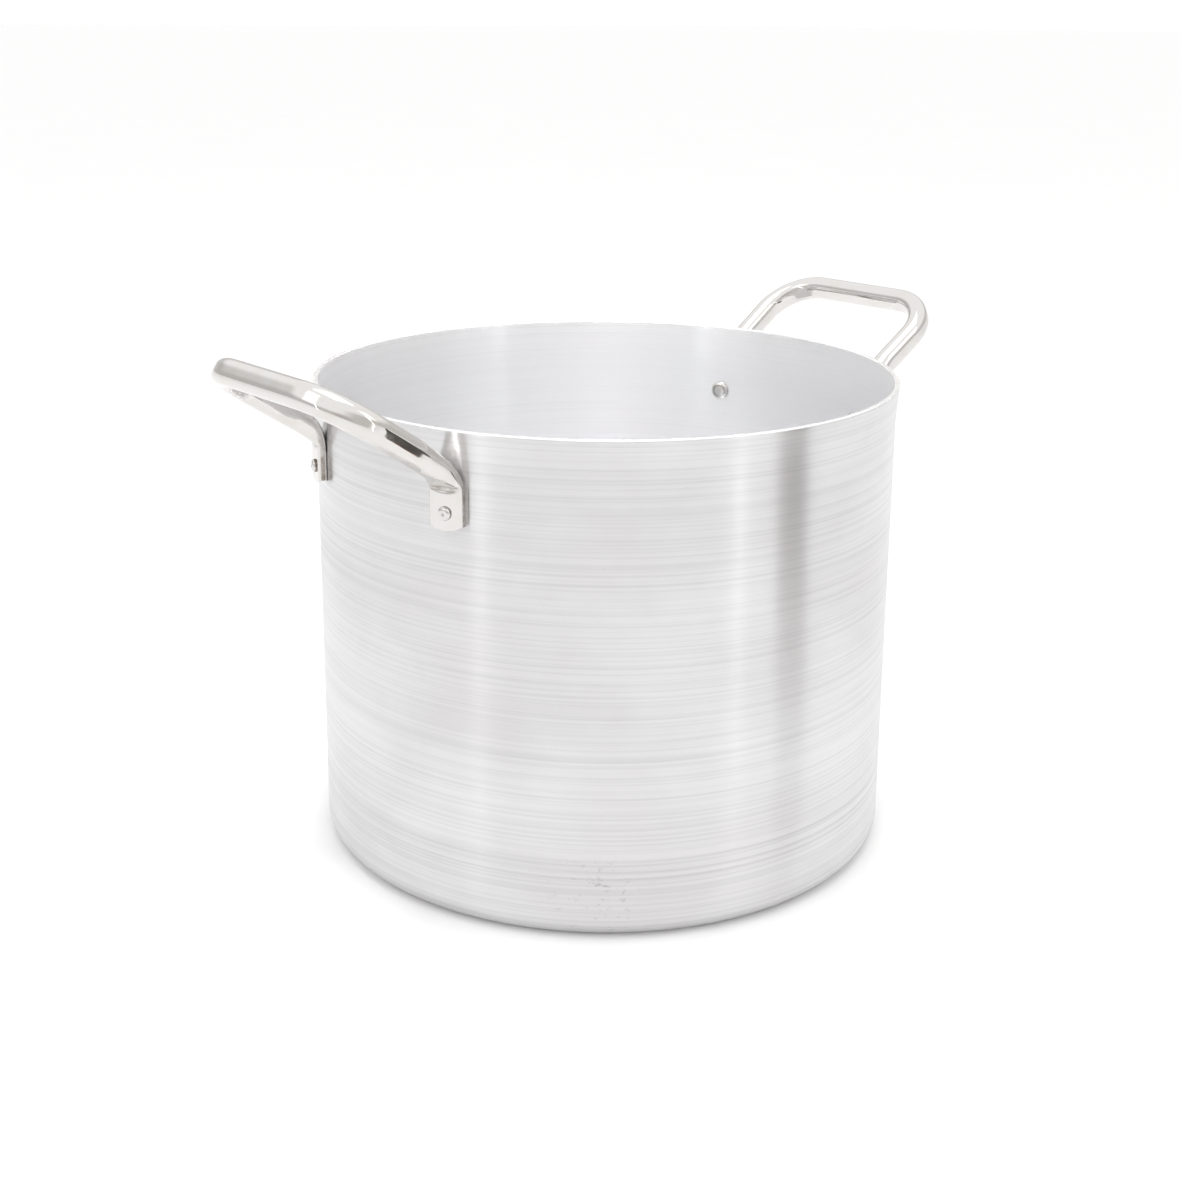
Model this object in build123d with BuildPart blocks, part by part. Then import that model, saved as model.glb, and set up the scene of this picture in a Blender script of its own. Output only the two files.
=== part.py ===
from build123d import *
import math
import os

# Stock pot: a spun aluminium body with two bent steel tube handles, each held by two rivets.
# Frame: +Z up, origin at the centre of the base's underside, the handles on -X and +X.

# Pot body
body_radius = 180.0  # outside of the straight wall
body_height = 292.0
wall = 3.0
base_thickness = 4.0
corner_radius = 11.0  # outside, between wall and base
flare = 1.8  # how far the rim leans out
flare_height = 29.0
rim_width = 3.4
rim_edge = 1.2  # rounding of the rim's two edges

# Handles
foot_angle = 20.7  # about the pot's axis, from the handle's centre plane to each foot
rivet_height = 246.0
tube_height = 16.0  # across the handle's plane
tube_width = 13.0  # in the handle's plane
tube_wall = 1.2
tab_width = 22.0
tab_thickness = 5.2
bend_height = 268.2  # where the tab's and the leg's centrelines would meet
tab_bottom = 236.0
tab_end_radius = 19.5  # of the arc that ends each tab
tab_seat = 0.25  # how deep the wall's curve is pressed into the tab's inner face
bend_radius = 21.0  # from tab to leg
leg_rise = 33.8  # above the horizontal
grip_reach = 242.0  # from the pot's axis to the grip's centreline
grip_half = 67.5  # from the centre plane to where leg and grip would meet
grip_corner = 31.5
taper_length = 18.0  # straight part of the leg in which the tube swells to its full section
taper_steps = 8  # flat facets along each foot
lap = 4.0  # of each foot inside the tube's end
lap_step = 0.05  # by which the foot is smaller than the tube all round where they lap
side_flat = 0.4  # straight part between the round corners of a tube's narrow side

# Rivets
shank_radius = 3.0
outer_head_radius = 4.0
outer_head_height = 2.3
dimple_radius = 1.2
dimple_depth = 0.4
inner_head_radius = 6.3
inner_head_height = 2.8
head_edge = 0.5  # straight side of a head below its dome

wall_inside = body_radius - wall
rise = math.radians(leg_rise)
foot_turn = math.radians(foot_angle)


def radial_plane(angle, radius, height):
    """Plane on the pot's side: z points out of the wall, x runs level along it."""
    turn = math.radians(angle)
    return Plane(
        origin=(radius * math.cos(turn), radius * math.sin(turn), height),
        x_dir=(-math.sin(turn), math.cos(turn), 0),
        z_dir=(math.cos(turn), math.sin(turn), 0),
    )


def tube_section(plane, width, height):
    """Face of a flat-oval tube's section, its shorter sides nearly full rounds."""
    with BuildSketch(plane) as section:
        RectangleRounded(width, height, min(width, height) / 2 - side_flat / 2)
    return section.sketch.faces()[0]


# Pot body: one revolved wall and base, with a rivet hole at each foot of the handles
with BuildPart() as pot_body:
    rim_radius = body_radius + flare
    rim_inside = rim_radius - rim_width
    flare_start = body_height - flare_height
    rim_side = body_height - rim_edge
    inner_corner = corner_radius - wall
    with BuildSketch(Plane.XZ) as wall_profile:
        with BuildLine():
            Line((0, 0), (body_radius - corner_radius, 0))
            TangentArc((body_radius - corner_radius, 0), (body_radius, corner_radius), tangent=(1, 0))
            Line((body_radius, corner_radius), (body_radius, flare_start))
            TangentArc((body_radius, flare_start), (rim_radius, rim_side), tangent=(0, 1))
            TangentArc((rim_radius, rim_side), (rim_radius - rim_edge, body_height), tangent=(0, 1))
            Line((rim_radius - rim_edge, body_height), (rim_inside + rim_edge, body_height))
            TangentArc((rim_inside + rim_edge, body_height), (rim_inside, rim_side), tangent=(-1, 0))
            TangentArc((wall_inside, flare_start), (rim_inside, rim_side), tangent=(0, 1))
            Line((wall_inside, flare_start), (wall_inside, base_thickness + inner_corner))
            TangentArc(
                (wall_inside, base_thickness + inner_corner),
                (wall_inside - inner_corner, base_thickness),
                tangent=(0, -1),
            )
            Line((wall_inside - inner_corner, base_thickness), (0, base_thickness))
            Line((0, base_thickness), (0, 0))
        make_face()
    revolve(axis=Axis.Z)
    for angle in (foot_angle, -foot_angle, 180 - foot_angle, 180 + foot_angle):
        with BuildSketch(radial_plane(angle, wall_inside - wall, rivet_height)):
            Circle(shank_radius)
        extrude(amount=body_radius - wall_inside + 2 * wall, mode=Mode.SUBTRACT)
pot_body.part.label = "pot_body"

# Handle centrelines: each tab rises to a bend, and the leg beyond it lies in the handle's plane
tab_radius = body_radius - tab_seat + tab_thickness / 2
foot = Vector(tab_radius * math.cos(foot_turn), tab_radius * math.sin(foot_turn), bend_height)
grip_height = bend_height + (grip_reach - foot.X) * math.tan(rise)
leg_direction = (Vector(grip_reach, grip_half, grip_height) - foot).normalized()
bend_turn = math.acos(leg_direction.Z)
bend_setback = bend_radius * math.tan(bend_turn / 2)
handle_plane = Plane(
    origin=(foot.X, 0, foot.Z),
    x_dir=(math.cos(rise), 0, math.sin(rise)),
    z_dir=(-math.sin(rise), 0, math.cos(rise)),
)
grip_distance = (grip_reach - foot.X) / math.cos(rise)
leg_spread = (grip_half - foot.Y) / grip_distance


def grip_route(start):
    """Wire in the handle's plane from one leg round to the other, starting at a distance from the bend."""
    leg_y = foot.Y + start * leg_spread
    with BuildLine(handle_plane) as route:
        FilletPolyline(
            (start, leg_y),
            (grip_distance, grip_half),
            (grip_distance, -grip_half),
            (start, -leg_y),
            radius=grip_corner,
        )
    return route.wire()


def route_plane(route):
    """Plane across the start of a route in the handle's plane, its y along the plane's normal."""
    direction = route % 0
    return Plane(origin=route @ 0, x_dir=handle_plane.z_dir.cross(direction), z_dir=direction)


def foot_section(side, share):
    """Section of a foot, from the flat tab's top at 0, round the bend, to inside the tube at 1."""
    leg = Vector(leg_direction.X, side * leg_direction.Y, leg_direction.Z)
    level_leg = Vector(leg.X, leg.Y, 0).normalized()
    arc_length = bend_radius * bend_turn
    distance = share * (arc_length + taper_length)
    turn = min(distance / bend_radius, bend_turn)
    straight = max(distance - arc_length, 0)
    out = bend_radius * (1 - math.cos(turn)) + straight * math.sin(turn)
    up = bend_radius * math.sin(turn) + straight * math.cos(turn) - bend_setback
    tangent = level_leg * math.sin(turn) + Vector(0, 0, math.cos(turn))
    swell = share * share * (3 - 2 * share)
    along_wall = Vector(-side * math.sin(foot_turn), math.cos(foot_turn), 0)
    across = along_wall * (1 - swell) + handle_plane.z_dir.cross(leg) * swell
    plane = Plane(
        origin=Vector(foot.X, side * foot.Y, bend_height + up) + level_leg * out,
        x_dir=across - tangent * across.dot(tangent),
        z_dir=tangent,
    )
    width = tab_width + (tube_width - 2 * lap_step - tab_width) * swell
    height = tab_thickness + (tube_height - 2 * lap_step - tab_thickness) * swell
    return tube_section(plane, width, height)


# Handle: a bent tube, its ends pressed flat into tabs that sit against the wall
with BuildPart() as handle_right:
    outer_route = grip_route(bend_setback + taper_length - lap)
    sweep(tube_section(route_plane(outer_route), tube_width, tube_height), path=outer_route)
    bore_route = grip_route(bend_setback + taper_length + lap)
    bore_width = tube_width - 2 * tube_wall
    bore_height = tube_height - 2 * tube_wall
    sweep(
        tube_section(route_plane(bore_route), bore_width, bore_height),
        path=bore_route,
        mode=Mode.SUBTRACT,
    )
    tab_length = bend_height - bend_setback - tab_bottom
    for side in (1, -1):
        sections = [foot_section(side, step / taper_steps) for step in range(taper_steps + 1)]
        loft(sections, ruled=True)
        extrude(foot_section(side, 0), amount=-tab_length - tab_thickness)
        angle = side * foot_angle
        with BuildSketch(radial_plane(angle, wall_inside, tab_bottom + tab_end_radius)):
            Rectangle(2 * tab_end_radius, 2 * tab_end_radius, align=(Align.CENTER, Align.MAX))
            Circle(tab_end_radius, mode=Mode.SUBTRACT)
        extrude(amount=wall + 2 * tab_thickness, mode=Mode.SUBTRACT)
        with BuildSketch(radial_plane(angle, wall_inside, rivet_height)):
            Circle(shank_radius)
        extrude(amount=wall + 2 * tab_thickness, mode=Mode.SUBTRACT)
    Cylinder(
        body_radius,
        body_height,
        align=(Align.CENTER, Align.CENTER, Align.MIN),
        mode=Mode.SUBTRACT,
    )
handle_right.part.label = "handle_right"

with BuildPart() as handle_left:
    mirror(handle_right.part, about=Plane.YZ)
handle_left.part.label = "handle_left"

os.makedirs("parts", exist_ok=True)
export_step(pot_body.part, "parts/pot_body.step")
export_step(handle_right.part, "parts/handle_right.step")
export_step(handle_left.part, "parts/handle_left.step")

# Rivets: a wide domed head inside the wall, a shank, and a small dimpled head on each tab
rivet_angles = {
    "rivet_right_back": foot_angle,
    "rivet_right_front": -foot_angle,
    "rivet_left_back": 180 - foot_angle,
    "rivet_left_front": 180 + foot_angle,
}
inner_seat = math.sqrt(wall_inside**2 - inner_head_radius**2)
outer_seat = tab_radius + tab_thickness / 2
outer_top = outer_seat + outer_head_height
for rivet_name, angle in rivet_angles.items():
    turn = math.radians(angle)
    out_of_wall = Vector(math.cos(turn), math.sin(turn), 0)
    along_wall = Vector(-math.sin(turn), math.cos(turn), 0)
    axis_point = Vector(0, 0, rivet_height)
    with BuildPart() as rivet:
        with BuildSketch(Plane(origin=axis_point, x_dir=out_of_wall, z_dir=along_wall)):
            with BuildLine():
                TangentArc(
                    (inner_seat - inner_head_height, 0),
                    (inner_seat - head_edge, inner_head_radius),
                    tangent=(0, 1),
                )
                Polyline(
                    (inner_seat - head_edge, inner_head_radius),
                    (inner_seat, inner_head_radius),
                    (inner_seat, shank_radius),
                    (outer_seat, shank_radius),
                    (outer_seat, outer_head_radius),
                    (outer_seat + head_edge, outer_head_radius),
                )
                TangentArc(
                    (outer_top, dimple_radius),
                    (outer_seat + head_edge, outer_head_radius),
                    tangent=(0, 1),
                )
                TangentArc(
                    (outer_top - dimple_depth, 0),
                    (outer_top, dimple_radius),
                    tangent=(0, 1),
                )
                Line((outer_top - dimple_depth, 0), (inner_seat - inner_head_height, 0))
            make_face()
        revolve(axis=Axis(axis_point, out_of_wall))
    rivet.part.label = rivet_name
    export_step(rivet.part, f"parts/{rivet_name}.step")
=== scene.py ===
"""A stock pot: turned aluminium body, two bent and pressed steel tube handles, domed rivets."""
import bpy
import math
import random
from mathutils import Matrix, Vector


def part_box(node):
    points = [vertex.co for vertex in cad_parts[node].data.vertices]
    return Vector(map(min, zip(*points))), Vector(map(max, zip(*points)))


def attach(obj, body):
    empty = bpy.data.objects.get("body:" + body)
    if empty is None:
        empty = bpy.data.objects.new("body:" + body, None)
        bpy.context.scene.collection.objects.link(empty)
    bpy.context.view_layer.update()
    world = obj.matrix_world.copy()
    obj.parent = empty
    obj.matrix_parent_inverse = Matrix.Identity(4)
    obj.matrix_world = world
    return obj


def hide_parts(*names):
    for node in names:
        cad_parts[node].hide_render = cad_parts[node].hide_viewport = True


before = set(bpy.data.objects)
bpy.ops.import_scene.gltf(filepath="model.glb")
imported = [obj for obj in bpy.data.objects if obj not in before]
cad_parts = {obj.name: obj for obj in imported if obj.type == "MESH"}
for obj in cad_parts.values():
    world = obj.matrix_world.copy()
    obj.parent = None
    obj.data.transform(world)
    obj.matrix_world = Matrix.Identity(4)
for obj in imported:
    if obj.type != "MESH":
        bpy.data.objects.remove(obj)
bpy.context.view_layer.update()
random.seed(11)
MM = 0.001

# ---------------------------------------------------------------- sizes
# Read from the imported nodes
body_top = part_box("pot_body")[1]
rivet_low, rivet_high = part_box("rivet_right_back")
height = body_top.z
rim_radius = body_top.x
rivet_z = (rivet_low.z + rivet_high.z) / 2
tab_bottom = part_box("handle_right")[0].z

# Body
flare = 1.8 * MM
flare_start = height - 29.0 * MM
radius = rim_radius - flare
wall = 3.0 * MM
base = 4.0 * MM
corner = 11.0 * MM
rim_width = 3.4 * MM
rim_edge = 1.2 * MM
rim_side = height - rim_edge
body_segments = 384
groove_heights = (35.5, 37.2, 41.0, 47.3, 48.6, 53.8)
groove_depth = 0.16 * MM
groove_width = 0.42 * MM

# Handles
foot_angle = math.radians(20.7)
tab_width = 22.0 * MM
tab_thickness = 5.2 * MM
tab_seat = 0.25 * MM
tab_end_radius = 19.5 * MM
tube_width = 13.0 * MM
tube_height = 16.0 * MM
bend_height = 268.2 * MM
bend_radius = 21.0 * MM
taper = 18.0 * MM
grip_reach = 242.0 * MM
grip_half = 67.5 * MM
grip_corner = 31.5 * MM
rise = math.radians(33.8)
quarter_points = 14
tab_steps = 48
bend_steps = 60
leg_steps = 14
corner_steps = 28
grip_steps = 24

# Rivets
shank_radius = 3.0 * MM
outer_head_radius = 4.0 * MM
inner_head_radius = 6.3 * MM
rivet_segments = 56

# Directions and points of the handle on +X, at its foot on +Y
along_wall = Vector((-math.sin(foot_angle), math.cos(foot_angle), 0))
out_of_wall = Vector((math.cos(foot_angle), math.sin(foot_angle), 0))
upright = Vector((-math.sin(rise), 0, math.cos(rise)))
tab_middle = radius - tab_seat + tab_thickness / 2
foot = Vector((tab_middle * math.cos(foot_angle), tab_middle * math.sin(foot_angle), bend_height))
grip_z = bend_height + (grip_reach - foot.x) * math.tan(rise)
corner_point = Vector((grip_reach, grip_half, grip_z))
leg = (corner_point - foot).normalized()
level_leg = Vector((leg.x, leg.y, 0)).normalized()
bend_turn = math.acos(leg.z)
setback = bend_radius * math.tan(bend_turn / 2)
bend_start = bend_height - setback

view_azimuth = math.radians(-41.45)


def seen(across, away, up):
    """A point given as seen from the camera: to the right, away from the camera, and up."""
    c, s = math.cos(view_azimuth), math.sin(view_azimuth)
    return Vector((across * c - away * s, across * s + away * c, up))


# ---------------------------------------------------------------- nodes
class Nodes:
    """Makes and links the nodes of one tree."""

    def __init__(self, tree):
        self.tree = tree
        tree.nodes.clear()

    def new(self, kind):
        return self.tree.nodes.new("ShaderNode" + kind)

    def put(self, socket, value):
        if isinstance(value, bpy.types.NodeSocket):
            self.tree.links.new(value, socket)
        else:
            socket.default_value = value

    def calc(self, operation, a, b=0.0, clamp=False):
        node = self.new("Math")
        node.operation, node.use_clamp = operation, clamp
        self.put(node.inputs[0], a)
        self.put(node.inputs[1], b)
        return node.outputs[0]

    def scaled(self, vector, scale):
        node = self.new("Mapping")
        self.put(node.inputs["Vector"], vector)
        node.inputs["Scale"].default_value = scale
        return node.outputs[0]

    def noise(self, vector, scale, detail=4.0, rough=0.55):
        node = self.new("TexNoise")
        self.put(node.inputs["Vector"], vector)
        node.inputs["Scale"].default_value = scale
        node.inputs["Detail"].default_value = detail
        node.inputs["Roughness"].default_value = rough
        return node.outputs[0]

    def span(self, value, low, high, to_low=0.0, to_high=1.0):
        """A smooth step from one value to another as the input goes from low to high."""
        node = self.new("MapRange")
        node.interpolation_type = "SMOOTHSTEP"
        self.put(node.inputs["Value"], value)
        names = ("From Min", "From Max", "To Min", "To Max")
        for name, number in zip(names, (low, high, to_low, to_high)):
            node.inputs[name].default_value = number
        return node.outputs[0]

    def mix(self, factor, first, second):
        node = self.new("Mix")
        node.data_type = "RGBA"
        self.put(node.inputs[0], factor)
        self.put(node.inputs[6], first)
        self.put(node.inputs[7], second)
        return node.outputs[2]

    def split(self, vector):
        node = self.new("SeparateXYZ")
        self.put(node.inputs[0], vector)
        return tuple(node.outputs)


class Surface(Nodes):
    """A material with one Principled shader."""

    def __init__(self, name):
        self.material = bpy.data.materials.new(name)
        self.material.use_nodes = True
        super().__init__(self.material.node_tree)
        self.shader = self.new("BsdfPrincipled")
        self.tree.links.new(self.shader.outputs[0], self.new("OutputMaterial").inputs[0])
        self.coords = self.new("TexCoord").outputs["Object"]

    def bump(self, heights, strength, distance, normal=None):
        node = self.new("Bump")
        node.inputs["Strength"].default_value = strength
        node.inputs["Distance"].default_value = distance
        self.put(node.inputs["Height"], heights)
        if normal:
            self.put(node.inputs["Normal"], normal)
        return node.outputs[0]

    def set(self, **sockets):
        for name, value in sockets.items():
            self.put(self.shader.inputs[name.replace("_", " ")], value)


# ---------------------------------------------------------------- materials
def ring_coordinates(surface):
    """Coordinates that make turned rings level on wall and base alike, and the height."""
    x, y, z = surface.split(surface.coords)
    squares = surface.calc("ADD", surface.calc("MULTIPLY", x, x), surface.calc("MULTIPLY", y, y))
    along = surface.calc("ADD", surface.calc("SQRT", squares), z)
    joined = surface.new("CombineXYZ")
    for socket, value in zip(joined.inputs, (x, y, along)):
        surface.put(socket, value)
    return joined.outputs[0], z


def stain(surface):
    """Small dark blots low on the front of the wall."""
    turn = math.radians(-132.5)
    away = surface.new("VectorMath")
    away.operation = "DISTANCE"
    surface.put(away.inputs[0], surface.coords)
    away.inputs[1].default_value = (radius * math.cos(turn), radius * math.sin(turn), 26 * MM)
    near = surface.span(away.outputs["Value"], 8 * MM, 34 * MM, 1.0, 0.0)
    grain = surface.noise(surface.scaled(surface.coords, (1.0, 1.0, 1.8)), 170.0, 5.0, 0.7)
    return surface.calc("MULTIPLY", near, surface.span(grain, 0.56, 0.66))


def groove_shade(surface, level, lines):
    """Darker lines in the band of grooves near the base."""
    above = surface.span(level, 30 * MM, 38 * MM)
    below = surface.span(level, 54 * MM, 62 * MM, 1.0, 0.0)
    band = surface.calc("MULTIPLY", above, below)
    return surface.calc("MULTIPLY", band, surface.span(lines, 0.50, 0.60))


def turned_aluminium(name, light, dark, rough, inside):
    """Aluminium turned on a lathe: fine rings in irregular bunches, a cloudy sheen, small marks."""
    surface = Surface(name)
    rings, level = ring_coordinates(surface)

    def ring_noise(around, along, detail, roughness):
        return surface.noise(surface.scaled(rings, (around, around, along)), 1.0, detail, roughness)

    hair = ring_noise(1.8, 700.0, 1.0, 0.5)
    lines = ring_noise(1.8, 400.0, 2.0, 0.55)
    bunch = ring_noise(9.0, 34.0, 3.0, 0.5)
    cloud = ring_noise(6.0, 9.0, 4.0, 0.6)
    specks = surface.noise(surface.coords, 900.0, 2.0, 0.5)

    cut = surface.span(lines, 0.53, 0.72)
    cut = surface.calc("MULTIPLY", cut, surface.span(bunch, 0.40, 0.64, 0.12, 1.0))
    shades = [
        surface.calc("MULTIPLY", cut, 0.24),
        surface.calc("MULTIPLY", surface.span(hair, 0.35, 0.75), 0.26),
        surface.span(cloud, 0.35, 0.7, 0.0, 0.22),
        surface.calc("MULTIPLY", surface.span(specks, 0.68, 0.76), 0.25),
    ]
    if not inside:
        shades.append(surface.calc("MULTIPLY", stain(surface), 0.7))
        shades.append(surface.calc("MULTIPLY", groove_shade(surface, level, lines), 0.18))
    tone = shades[0]
    for shade in shades[1:]:
        tone = surface.calc("ADD", tone, shade, clamp=True)

    pinker = (light[0] * 0.995, light[1] * 0.975, light[2] * 0.98, 1.0)
    tint = surface.mix(surface.span(cloud, 0.4, 0.68), light, pinker)
    # The inside and rim copies are partly diffuse, which lightens them: painted light.
    surface.set(Base_Color=surface.mix(tone, tint, dark), Metallic=0.70 if inside else 1.0)
    surface.set(Roughness=surface.calc("ADD", surface.calc("MULTIPLY", tone, 0.10), rough))
    surface.set(Anisotropic=0.96, Anisotropic_Rotation=0.25)
    around_axis = surface.new("Tangent")
    around_axis.direction_type, around_axis.axis = "RADIAL", "Z"
    surface.set(Tangent=around_axis.outputs[0])
    relief = surface.calc("SUBTRACT", surface.calc("MULTIPLY", hair, 0.5), cut)
    waves = surface.bump(cloud, 0.10, 0.8 * MM)
    surface.set(Normal=surface.bump(relief, 0.04, 0.04 * MM, waves))
    return surface.material


def polished_steel(name, colour, rough):
    """Polished steel, slightly wavy, with faint hairs and smears, and painted shade (with painted reflection
    stripes on the tab sides) where the shade mask is set.
    """
    surface = Surface(name)
    waves = surface.noise(surface.coords, 42.0, 2.0, 0.4)
    smear = surface.noise(surface.scaled(surface.coords, (1.0, 1.0, 2.2)), 70.0, 5.0, 0.65)
    hairs = surface.noise(surface.scaled(surface.coords, (160.0, 1500.0, 260.0)), 1.0, 3.0, 0.6)
    # The shade mask holds painted shade in the fold's pocket, the seam groove, the tube's mouth and round
    # the rivet heads, and painted reflection stripes on the tab sides; the smears make it patchy.
    shade_mask = surface.new("Attribute")
    shade_mask.attribute_name = "shade_mask"
    patchy = surface.span(smear, 0.3, 0.75, 0.35, 1.0)
    painted_shade = surface.calc("MULTIPLY", shade_mask.outputs["Fac"], patchy, clamp=True)
    warm = (colour[0] * 0.97, colour[1] * 0.93, colour[2] * 0.88, 1.0)
    tint = surface.mix(surface.span(smear, 0.42, 0.7, 0.0, 0.6), colour, warm)
    # Painted shade: a dark brown mixed in where the shade mask is set.
    surface.set(Base_Color=surface.mix(painted_shade, tint, (0.20, 0.165, 0.14, 1.0)), Metallic=1.0)
    smeared = surface.span(smear, 0.4, 0.75, 0.0, 0.09)
    spread = surface.calc("ADD", smeared, surface.calc("MULTIPLY", painted_shade, 0.22))
    surface.set(Roughness=surface.calc("ADD", spread, rough))
    slow = surface.bump(waves, 0.22, 1.2 * MM)
    surface.set(Normal=surface.bump(hairs, 0.10, 0.02 * MM, slow))
    return surface.material


# ---------------------------------------------------------------- mesh helpers
def add_object(name, data):
    obj = bpy.data.objects.new(name, data)
    bpy.context.scene.collection.objects.link(obj)
    return obj


def piece(name, verts, faces, materials, node, face_slots=None, shade_mask=None):
    """A visible piece on the root body that stands for one CAD node."""
    mesh = bpy.data.meshes.new(name)
    mesh.from_pydata(verts, [], faces)
    for material in materials:
        mesh.materials.append(material)
    if face_slots:
        mesh.polygons.foreach_set("material_index", face_slots)
    # Stores the mask of painted shade and painted reflection stripes that the steel reads.
    if shade_mask:
        mesh.attributes.new("shade_mask", "FLOAT", "POINT").data.foreach_set("value", shade_mask)
    mesh.shade_smooth()
    mesh.update()
    obj = add_object(name, mesh)
    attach(obj, "root")
    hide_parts(node)


def arc(centre_x, centre_y, size, start, end, steps):
    """Points of an arc, angles in degrees, both ends included."""
    turns = [math.radians(start + (end - start) * i / steps) for i in range(steps + 1)]
    return [(centre_x + size * math.cos(t), centre_y + size * math.sin(t)) for t in turns]


def lathe(profile, segments, place):
    """Verts and faces of a closed turned solid; the profile starts and ends on its axis."""
    verts = [place(0.0, profile[0][1], 0.0)]
    for r, z in profile[1:-1]:
        verts += [place(r, z, math.tau * k / segments) for k in range(segments)]
    verts.append(place(0.0, profile[-1][1], 0.0))
    tip = len(verts) - 1
    last_ring = 1 + (len(profile) - 3) * segments
    faces = []
    for here in range(segments):
        beside = (here + 1) % segments
        faces.append((0, 1 + beside, 1 + here))
        for ring in range(1, last_ring, segments):
            above = ring + segments
            faces.append((ring + here, ring + beside, above + beside, above + here))
        faces.append((last_ring + here, last_ring + beside, tip))
    return verts, faces


def smooth(x):
    x = min(max(x, 0.0), 1.0)
    return x * x * (3 - 2 * x)


def bell(x, width):
    return math.exp(-((x / width) ** 2))


# ---------------------------------------------------------------- pot body
def underside():
    """The base from its centre, pressed in slightly, out to the edge it stands on."""
    points = [(0.0, 0.4 * MM)]
    points += [(r * MM, 0.4 * MM) for r in range(6, 120, 6)]
    return points + [(124 * MM, 0.25 * MM), (130 * MM, 0.0), (145 * MM, 0.0), (160 * MM, 0.0)]


def outer_wall():
    """The straight wall, turned slightly uneven, with grooves near the base."""
    points = []
    z = corner + 1.2 * MM
    while z < flare_start:
        depth = random.uniform(0.0, 0.018) * MM
        for groove in groove_heights:
            depth += groove_depth * bell(z - groove * MM, groove_width)
        points.append((radius - depth, z))
        z += (0.35 if 33 * MM < z < 56 * MM else 1.1) * MM
    return points


def flared(bottom_radius, lean, share):
    """A point of the flare, from its start at 0 to just below the rim at 1."""
    return bottom_radius + lean * share * share, flare_start + (rim_side - flare_start) * share


def inner_wall(inner):
    """The inside below the flare, with the rounded corner and the flat base."""
    inner_corner = 8.0 * MM
    points = []
    z = flare_start - 1.5 * MM
    while z > base + 8.6 * MM:
        points.append((inner + random.uniform(-0.01, 0.01) * MM, z))
        z -= 2.0 * MM
    points += arc(inner - inner_corner, base + inner_corner, inner_corner, 0, -90, 12)
    floor_z = base + 0.02 * MM
    points += [(r * MM, floor_z) for r in range(162, 5, -4)]
    points.append((0.0, floor_z))
    return points


def body_profile():
    """Radius and height of the pot's skin from the underside's centre round to the inside's."""
    inner = radius - wall
    inner_lean = rim_radius - rim_width - inner
    points = underside()
    points += arc(radius - corner, corner, corner, -90, 0, 14)
    points += outer_wall()
    points += [flared(radius, flare, i / 14) for i in range(15)]
    points += arc(rim_radius - rim_edge, rim_side, rim_edge, 10, 90, 7)
    points += arc(rim_radius - rim_width + rim_edge, rim_side, rim_edge, 90, 180, 7)
    points += [flared(inner, inner_lean, 1 - i / 14) for i in range(1, 15)]
    return points + inner_wall(inner)


def make_body():
    profile = body_profile()
    verts, faces = lathe(
        profile, body_segments, lambda r, z, t: (r * math.cos(t), r * math.sin(t), z)
    )
    top = max(range(len(profile)), key=lambda i: profile[i][1])
    slots = []
    for face in faces:
        row = (max(face) - 1) // body_segments + 1
        slots.append(1 if row > top + 8 else 2 if row >= top - 5 else 0)
    metals = [
        turned_aluminium("turned_outside", (0.785, 0.785, 0.79, 1.0), (0.54, 0.54, 0.545, 1.0), 0.29, False),
        # Painted light: the inside is a lightened copy of the aluminium, near white and partly diffuse,
        # standing in for light that does not reach in.
        turned_aluminium("turned_inside_lightened", (0.97, 0.975, 0.985, 1.0), (0.86, 0.865, 0.87, 1.0), 0.30, True),
        # Painted highlight: the rim is a near-white, less rough copy of the aluminium, so that it reads
        # bright.
        turned_aluminium("turned_rim_lightened", (0.98, 0.98, 0.98, 1.0), (0.88, 0.88, 0.89, 1.0), 0.22, True),
    ]
    piece("body_shell", verts, faces, metals, "pot_body", face_slots=slots)


make_body()


# ---------------------------------------------------------------- handles
def flat_oval(width, thick):
    """Points round a flat oval, the same number in each quarter so that sections match."""
    round_radius = min(width, thick) / 2 * 0.97
    up, level = thick / 2 - round_radius, width / 2 - round_radius
    turn = round_radius * math.pi / 2
    quarter = []
    for i in range(quarter_points):
        distance = (up + turn + level) * i / quarter_points
        if distance < up:
            quarter.append((width / 2, distance))
        elif distance < up + turn:
            angle = (distance - up) / round_radius
            x, y = round_radius * math.cos(angle), round_radius * math.sin(angle)
            quarter.append((level + x, up + y))
        else:
            quarter.append((level - (distance - up - turn), thick / 2))
    back = [(0.0, thick / 2)] + quarter[:0:-1]
    points = list(quarter)
    points += [(-x, y) for x, y in back]
    points += [(-x, -y) for x, y in quarter]
    points += [(x, -y) for x, y in back]
    return points


def foot_stations():
    """Stations up the tab, round the bend and along the taper."""
    rows = []
    for i in range(tab_steps + 1):
        z = tab_bottom + (bend_start - tab_bottom) * i / tab_steps
        rows.append((Vector((foot.x, foot.y, z)), Vector((0, 0, 1)), along_wall, 0.0, z - bend_start))
    bend = bend_radius * bend_turn
    for i in range(1, bend_steps + 1):
        distance = (bend + taper) * i / bend_steps
        turn, straight = min(distance / bend_radius, bend_turn), max(distance - bend, 0.0)
        out = bend_radius * (1 - math.cos(turn)) + straight * math.sin(turn)
        up = bend_radius * math.sin(turn) + straight * math.cos(turn) - setback
        tangent = level_leg * math.sin(turn) + Vector((0, 0, math.cos(turn)))
        swell = smooth(distance / (bend + taper))
        across = along_wall * (1 - swell) + upright.cross(leg) * swell
        across = (across - tangent * across.dot(tangent)).normalized()
        centre = Vector((foot.x, foot.y, bend_height + up)) + level_leg * out
        rows.append((centre, tangent, across, swell, distance))
    return rows


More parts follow.
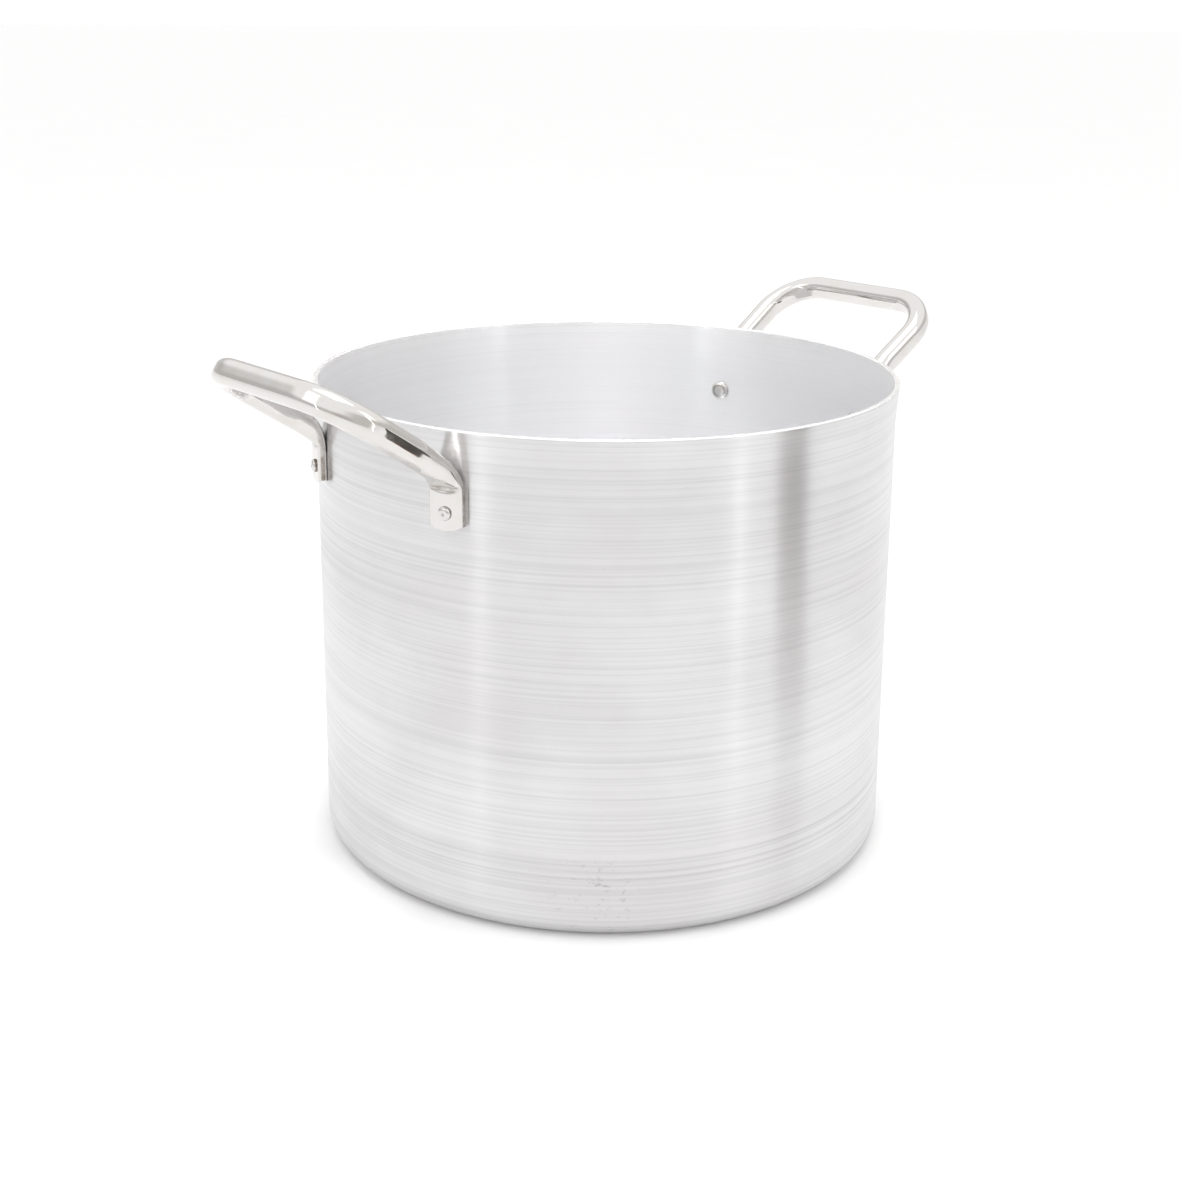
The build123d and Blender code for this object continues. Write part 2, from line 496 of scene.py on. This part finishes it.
def stations():
    """Centre, direction, across-axis, swell and distance from the bend, from foot to mid-grip."""
    rows = foot_stations()
    into = Vector((0, -1, 0))
    turn = leg.angle(into)
    cut = grip_corner * math.tan(turn / 2)
    begin, end = rows[-1][0], corner_point - leg * cut
    far = bend_radius * bend_turn + taper

    def tube(centre, tangent):
        rows.append((centre, tangent, upright.cross(tangent), 1.0, far))

    for i in range(1, leg_steps + 1):
        tube(begin.lerp(end, i / leg_steps), leg)
    centre = end + leg.cross(upright) * grip_corner
    for i in range(1, corner_steps + 1):
        spin = Matrix.Rotation(-turn * i / corner_steps, 3, upright)
        tube(centre + spin @ (end - centre), spin @ leg)
    last = rows[-1][0]
    for i in range(1, grip_steps + 1):
        tube(Vector((last.x, last.y * (1 - i / grip_steps), last.z)), into)
    return rows


def pressed_front(centre, normal, across_share, thick, distance):
    """Lift and painted shade of a foot's front: flush with the leg's underside, with a fold at the bend."""
    dome = max(0.0, 1 - across_share**2) ** 0.5
    below_leg = level_leg * leg.z - Vector((0, 0, math.sqrt(1 - leg.z**2)))
    under = foot + below_leg * tube_height / 2
    flush = (under - centre).dot(below_leg) / max(normal.dot(below_leg), 0.2)
    lift = max(0.0, flush - thick / 2) * dome if distance > 0 else 0.0
    fold = 4.4 * MM - 2.4 * MM * (1 - across_share**2)
    pocket = bell(distance - fold, 1.15 * MM) * dome
    # The fold's pocket is painted darker: painted shade in the hollow under the lip.
    return lift - 0.8 * MM * pocket, 0.75 * pocket


def ring_at(centre, tangent, across, swell, distance):
    """One ring of points round the handle, and the painted shade of each."""
    normal = across.cross(tangent)
    width = tab_width + (tube_width - tab_width) * swell
    thick = tab_thickness + (tube_height - tab_thickness) * swell
    ring, shade_mask = [], []
    for x, y in flat_oval(width, thick):
        across_share = x / (width / 2)
        lift, painted_shade = 0.0, 0.0
        if swell < 1.0:
            if y > 0:
                lift, painted_shade = pressed_front(centre, normal, across_share, thick, distance)
            near_foot = 1 - smooth((distance - 2 * MM) / (16 * MM))
            side = smooth((abs(across_share) - 0.88) / 0.1) * near_foot
            seam = side * bell(y, 0.7 * MM)
            x -= math.copysign(0.55 * MM * seam, x)
            # Painted shade in the seam groove, and painted dark stripes standing for reflections along the
            # tab's sides.
            painted_shade = max(painted_shade, seam, side * abs(math.sin(math.tau * y / (3.4 * MM))))
        point = centre + across * x + normal * (y + lift)
        reach = math.hypot(point.x, point.y)
        if distance < -0.5 * MM and y < 0 and reach < radius + 0.6 * MM:
            point.x, point.y = point.x * radius / reach, point.y * radius / reach
        ring.append(point)
        shade_mask.append(painted_shade)
    return ring, shade_mask


def half_handle():
    """Rings of points and their painted shade, from the tab's round end to the middle of the grip."""
    rows = [ring_at(*station) for station in stations()]
    rings = [ring for ring, shade_mask in rows]
    for ring in rings[: tab_steps + 1]:
        for point in ring:
            sideways = (point - foot).dot(along_wall)
            low = tab_bottom + tab_end_radius - math.sqrt(tab_end_radius**2 - sideways * sideways)
            share = (point.z - tab_bottom) / (bend_start - tab_bottom)
            point.z = low + share * (bend_start - low)
    return rings, [shade_mask for ring, shade_mask in rows]


def open_end(ring, outward):
    """Rings of points and their painted shade, from a tab's end into the flat mouth of its pressed tube."""
    centre = sum(ring, Vector()) / len(ring)
    mouth = []
    # Painted shade, darker the deeper the ring lies in the mouth.
    for shrink, sink, mouth_shade in ((0.90, 0.0, 0.1), (0.72, 0.0, 0.5), (0.68, 1.6, 1.0), (0.3, 2.0, 1.0)):
        inner = [centre + (point - centre) * shrink for point in ring]
        for point in inner:
            if shrink < 0.8:
                point -= outward * (point - centre).dot(outward) * 0.72
            point.z += sink * MM
        mouth.append((inner, mouth_shade))
    return mouth


def whole_handle():
    """Verts, faces and painted shade of the handle on +X, from one tab's end to the other's."""
    rings, shade_rows = half_handle()
    size = len(rings[0])
    mirrored = [[Vector((p.x, -p.y, p.z)) for p in ring] for ring in rings[:-1]]
    every = rings + mirrored[::-1]
    verts = [tuple(point) for ring in every for point in ring]
    shade_mask = [painted_shade for row in shade_rows + shade_rows[:-1][::-1] for painted_shade in row]
    faces = []
    for start in range(0, size * (len(every) - 1), size):
        for k in range(size):
            j = (k + 1) % size
            faces.append((start + k, start + j, start + size + j, start + size + k))
    for start, outward, flip in (
        (0, out_of_wall, 1),
        (size * (len(every) - 1), Vector((out_of_wall.x, -out_of_wall.y, 0)), -1),
    ):
        previous = list(range(start, start + size))
        for inner, mouth_shade in open_end(every[start // size], outward):
            fresh = list(range(len(verts), len(verts) + size))
            verts += [tuple(point) for point in inner]
            shade_mask += [mouth_shade] * size
            for k in range(size):
                j = (k + 1) % size
                faces.append((previous[k], fresh[k], fresh[j], previous[j])[::flip])
            previous = fresh
        faces.append(tuple(previous[::-flip]))
    return verts, faces, shade_mask


def make_handles():
    steel = polished_steel("polished_steel", (0.72, 0.705, 0.69, 1.0), 0.055)
    verts, faces, shade_mask = whole_handle()
    piece("grip_right", verts, faces, [steel], "handle_right", shade_mask=shade_mask)
    verts = [(-x, y, z) for x, y, z in verts]
    faces = [face[::-1] for face in faces]
    piece("grip_left", verts, faces, [steel], "handle_left", shade_mask=shade_mask)


make_handles()


# ---------------------------------------------------------------- rivets
def rivet_profile():
    """Distance from the rivet's own axis, and distance from the pot's axis, inner dome to outer."""
    inner_seat = math.sqrt((radius - wall) ** 2 - inner_head_radius**2)
    outer_seat = radius - tab_seat + tab_thickness
    points = []
    for i in range(13):
        angle = math.radians(90 * i / 12)
        dome = (0.5 + 2.3 * math.cos(angle)) * MM
        points.append((inner_head_radius * math.sin(angle) ** 0.92, inner_seat - dome))
    points += [(inner_head_radius, inner_seat - 0.25 * MM), (6.25 * MM, inner_seat)]
    points += [(shank_radius, inner_seat), (shank_radius, outer_seat)]
    points += [(3.95 * MM, outer_seat), (outer_head_radius, outer_seat + 0.25 * MM)]
    for i in range(11):
        angle = math.radians(90 - 90 * i / 10)
        dome = (0.5 + 1.8 * math.cos(angle)) * MM
        points.append(((1.25 + 2.75 * math.sin(angle) ** 0.9) * MM, outer_seat + dome))
    for dimple_radius, dimple_height in ((0.95, 2.18), (0.5, 1.95), (0.0, 1.9)):
        points.append((dimple_radius * MM, outer_seat + dimple_height * MM))
    return points


def rivet_shade(outline):
    """Painted shade round the edges of both heads, where they meet the tab and the wall, and in the outer
    head's dimple.
    """
    shade_mask = []
    for r, reach in outline:
        painted_shade = 0.0
        # Painted shade at the head edges and in the dimple.
        if abs(r - outer_head_radius) < 0.1 * MM:
            painted_shade = 1.0
        elif abs(r - 6.27 * MM) < 0.06 * MM:
            painted_shade = 0.35
        elif r < 1.0 * MM and reach > radius:
            painted_shade = 0.5
        shade_mask += [painted_shade] * (1 if r == 0.0 else rivet_segments)
    return shade_mask


def make_rivet(where, angle, metal):
    out = Vector((math.cos(angle), math.sin(angle), 0))
    level = Vector((-math.sin(angle), math.cos(angle), 0))
    middle = Vector((0, 0, rivet_z))
    lift = Vector((0, 0, 1))

    def place(r, reach, turn):
        return tuple(middle + out * reach + (level * math.cos(turn) + lift * math.sin(turn)) * r)

    outline = rivet_profile()
    verts, faces = lathe(outline, rivet_segments, place)
    shade_mask = rivet_shade(outline)
    piece("domed_rivet_" + where, verts, faces, [metal], "rivet_" + where, shade_mask=shade_mask)


rivet_metal = polished_steel("rivet_metal", (0.70, 0.695, 0.685, 1.0), 0.10)
make_rivet("right_back", foot_angle, rivet_metal)
make_rivet("right_front", -foot_angle, rivet_metal)
make_rivet("left_back", math.pi - foot_angle, rivet_metal)
make_rivet("left_front", math.pi + foot_angle, rivet_metal)


# ---------------------------------------------------------------- floor and dark card
def make_floor():
    reach = 60.0
    mesh = bpy.data.meshes.new("floor")
    edges = [(-reach, -reach, 0), (reach, -reach, 0), (reach, reach, 0), (-reach, reach, 0)]
    mesh.from_pydata(edges, [], [(0, 1, 2, 3)])
    paper = Surface("white_paper")
    mottle = paper.noise(paper.coords, 3.0)
    paper.set(Base_Color=paper.mix(mottle, (0.93, 0.93, 0.93, 1.0), (0.95, 0.95, 0.95, 1.0)))
    paper.set(Roughness=0.9, Specular_IOR_Level=0.1)
    mesh.materials.append(paper.material)
    add_object("floor", mesh)


def make_dark_card():
    """A curved dark card, its foot orange, that the metal mirrors; no camera sees it."""
    steps, far = 30, 0.76
    shares = [i / steps for i in range(steps + 1)]
    turns = [math.radians(-71 + 13 * share) for share in shares]
    top = [0.20 + 0.10 * math.sin(math.pi * share) for share in shares]
    verts = []
    for heights in ([0.004] * (steps + 1), [0.05] * (steps + 1), top):
        verts += [(far * math.cos(t), far * math.sin(t), z) for t, z in zip(turns, heights)]
    faces = []
    for start in (0, steps + 1):
        for i in range(start, start + steps):
            faces.append((i, i + 1, i + steps + 2, i + steps + 1))
    mesh = bpy.data.meshes.new("dark_card")
    mesh.from_pydata(verts, [], faces)
    cloth = Surface("dark_cloth")
    level = cloth.split(cloth.coords)[2]
    weave = cloth.noise(cloth.coords, 5.0)
    black = cloth.mix(weave, (0.05, 0.046, 0.043, 1.0), (0.13, 0.12, 0.11, 1.0))
    cloth.set(Base_Color=cloth.mix(cloth.span(level, 0.014, 0.026), (0.55, 0.20, 0.07, 1.0), black))
    cloth.set(Roughness=0.95)
    mesh.materials.append(cloth.material)
    obj = add_object("dark_card", mesh)
    obj.visible_camera = obj.visible_diffuse = obj.visible_shadow = False


make_floor()
make_dark_card()


# ---------------------------------------------------------------- light
def softbox(name, position, target, width, tall, power, spread=180):
    light = bpy.data.lights.new(name, "AREA")
    light.shape, light.size, light.size_y = "RECTANGLE", width, tall
    light.energy, light.spread = power, math.radians(spread)
    lamp = add_object(name, light)
    lamp.location = position
    lamp.rotation_euler = (Vector(target) - Vector(position)).to_track_quat("-Z", "Y").to_euler()


pot_middle = (0, 0, 0.15)
softbox("key", seen(-2.0, -1.2, 1.9), pot_middle, 1.2, 1.6, 2.5)
softbox("fill", seen(2.1, -1.0, 1.8), pot_middle, 1.0, 1.5, 2.0)
softbox("overhead", seen(0.0, 0.0, 2.2), (0, 0, 0), 1.4, 1.4, 10)
softbox("into_pot", seen(0.0, 0.0, 1.7), (0, 0, 0), 0.4, 0.4, 0.28, 18)
softbox("strip_left", seen(-1.709, -1.692, 0.75), pot_middle, 0.05, 1.5, 0.9)
softbox("strip_right", seen(1.826, -1.562, 0.75), pot_middle, 0.05, 1.5, 0.9)


def make_world():
    """A grey room that is lighter above, for light and reflections; a camera ray sees white."""
    world = bpy.data.worlds.new("studio")
    bpy.context.scene.world = world
    world.use_nodes = True
    sky = Nodes(world.node_tree)
    ray = sky.new("TexCoord").outputs["Generated"]

    def toward(direction, narrow, wide):
        """1 for rays close to a direction and 0 for others, the two limits in degrees."""
        dot = sky.new("VectorMath")
        dot.operation = "DOT_PRODUCT"
        sky.put(dot.inputs[0], ray)
        dot.inputs[1].default_value = direction.normalized()
        limits = math.cos(math.radians(wide)), math.cos(math.radians(narrow))
        return sky.span(dot.outputs["Value"], *limits)

    up = sky.split(ray)[2]
    room = sky.mix(sky.span(up, 0.25, 0.5), (0.70, 0.69, 0.675, 1.0), (1.12, 1.12, 1.12, 1.0))
    left = sky.calc("MULTIPLY", toward(seen(-1.0, 0.45, 0.1), 12, 30), 0.15)
    room = sky.mix(left, room, (0.20, 0.21, 0.23, 1.0))
    warm = sky.calc("MULTIPLY", toward(seen(0.06, -1.0, 0.1), 6, 24), 0.5)
    room = sky.mix(warm, room, (0.52, 0.43, 0.42, 1.0))
    from_camera = sky.new("LightPath").outputs["Is Camera Ray"]
    glow = sky.new("Background")
    sky.put(glow.inputs["Color"], sky.mix(from_camera, room, (1.0, 1.0, 1.0, 1.0)))
    sky.put(sky.new("OutputWorld").inputs[0], glow.outputs[0])


make_world()
bpy.context.scene.view_settings.view_transform = "Standard"


# ---------------------------------------------------------------- camera
def make_camera():
    """The view of the pot from the front of its left handle, from a little above the rim."""
    yaw, pitch, roll = -0.0089, 0.2499, -0.0073
    forward = Vector((math.sin(yaw) * math.cos(pitch), math.cos(yaw) * math.cos(pitch), -math.sin(pitch)))
    right = Vector((math.cos(yaw), -math.sin(yaw), 0))
    down = forward.cross(right)
    across = right * math.cos(roll) + down * math.sin(roll)
    below = down * math.cos(roll) - right * math.sin(roll)
    position = Vector((0.0, -5.817 * radius, 2.8203 * radius))
    turned = Matrix((across, -below, -forward)).transposed().to_4x4()
    camera = add_object("camera", bpy.data.cameras.new("camera"))
    camera.matrix_world = Matrix.Rotation(view_azimuth, 4, "Z") @ Matrix.Translation(position) @ turned
    camera.data.sensor_width = 36.0
    camera.data.lens = 51.96376
    camera.data.shift_y = -0.118967
    bpy.context.scene.camera = camera


make_camera()
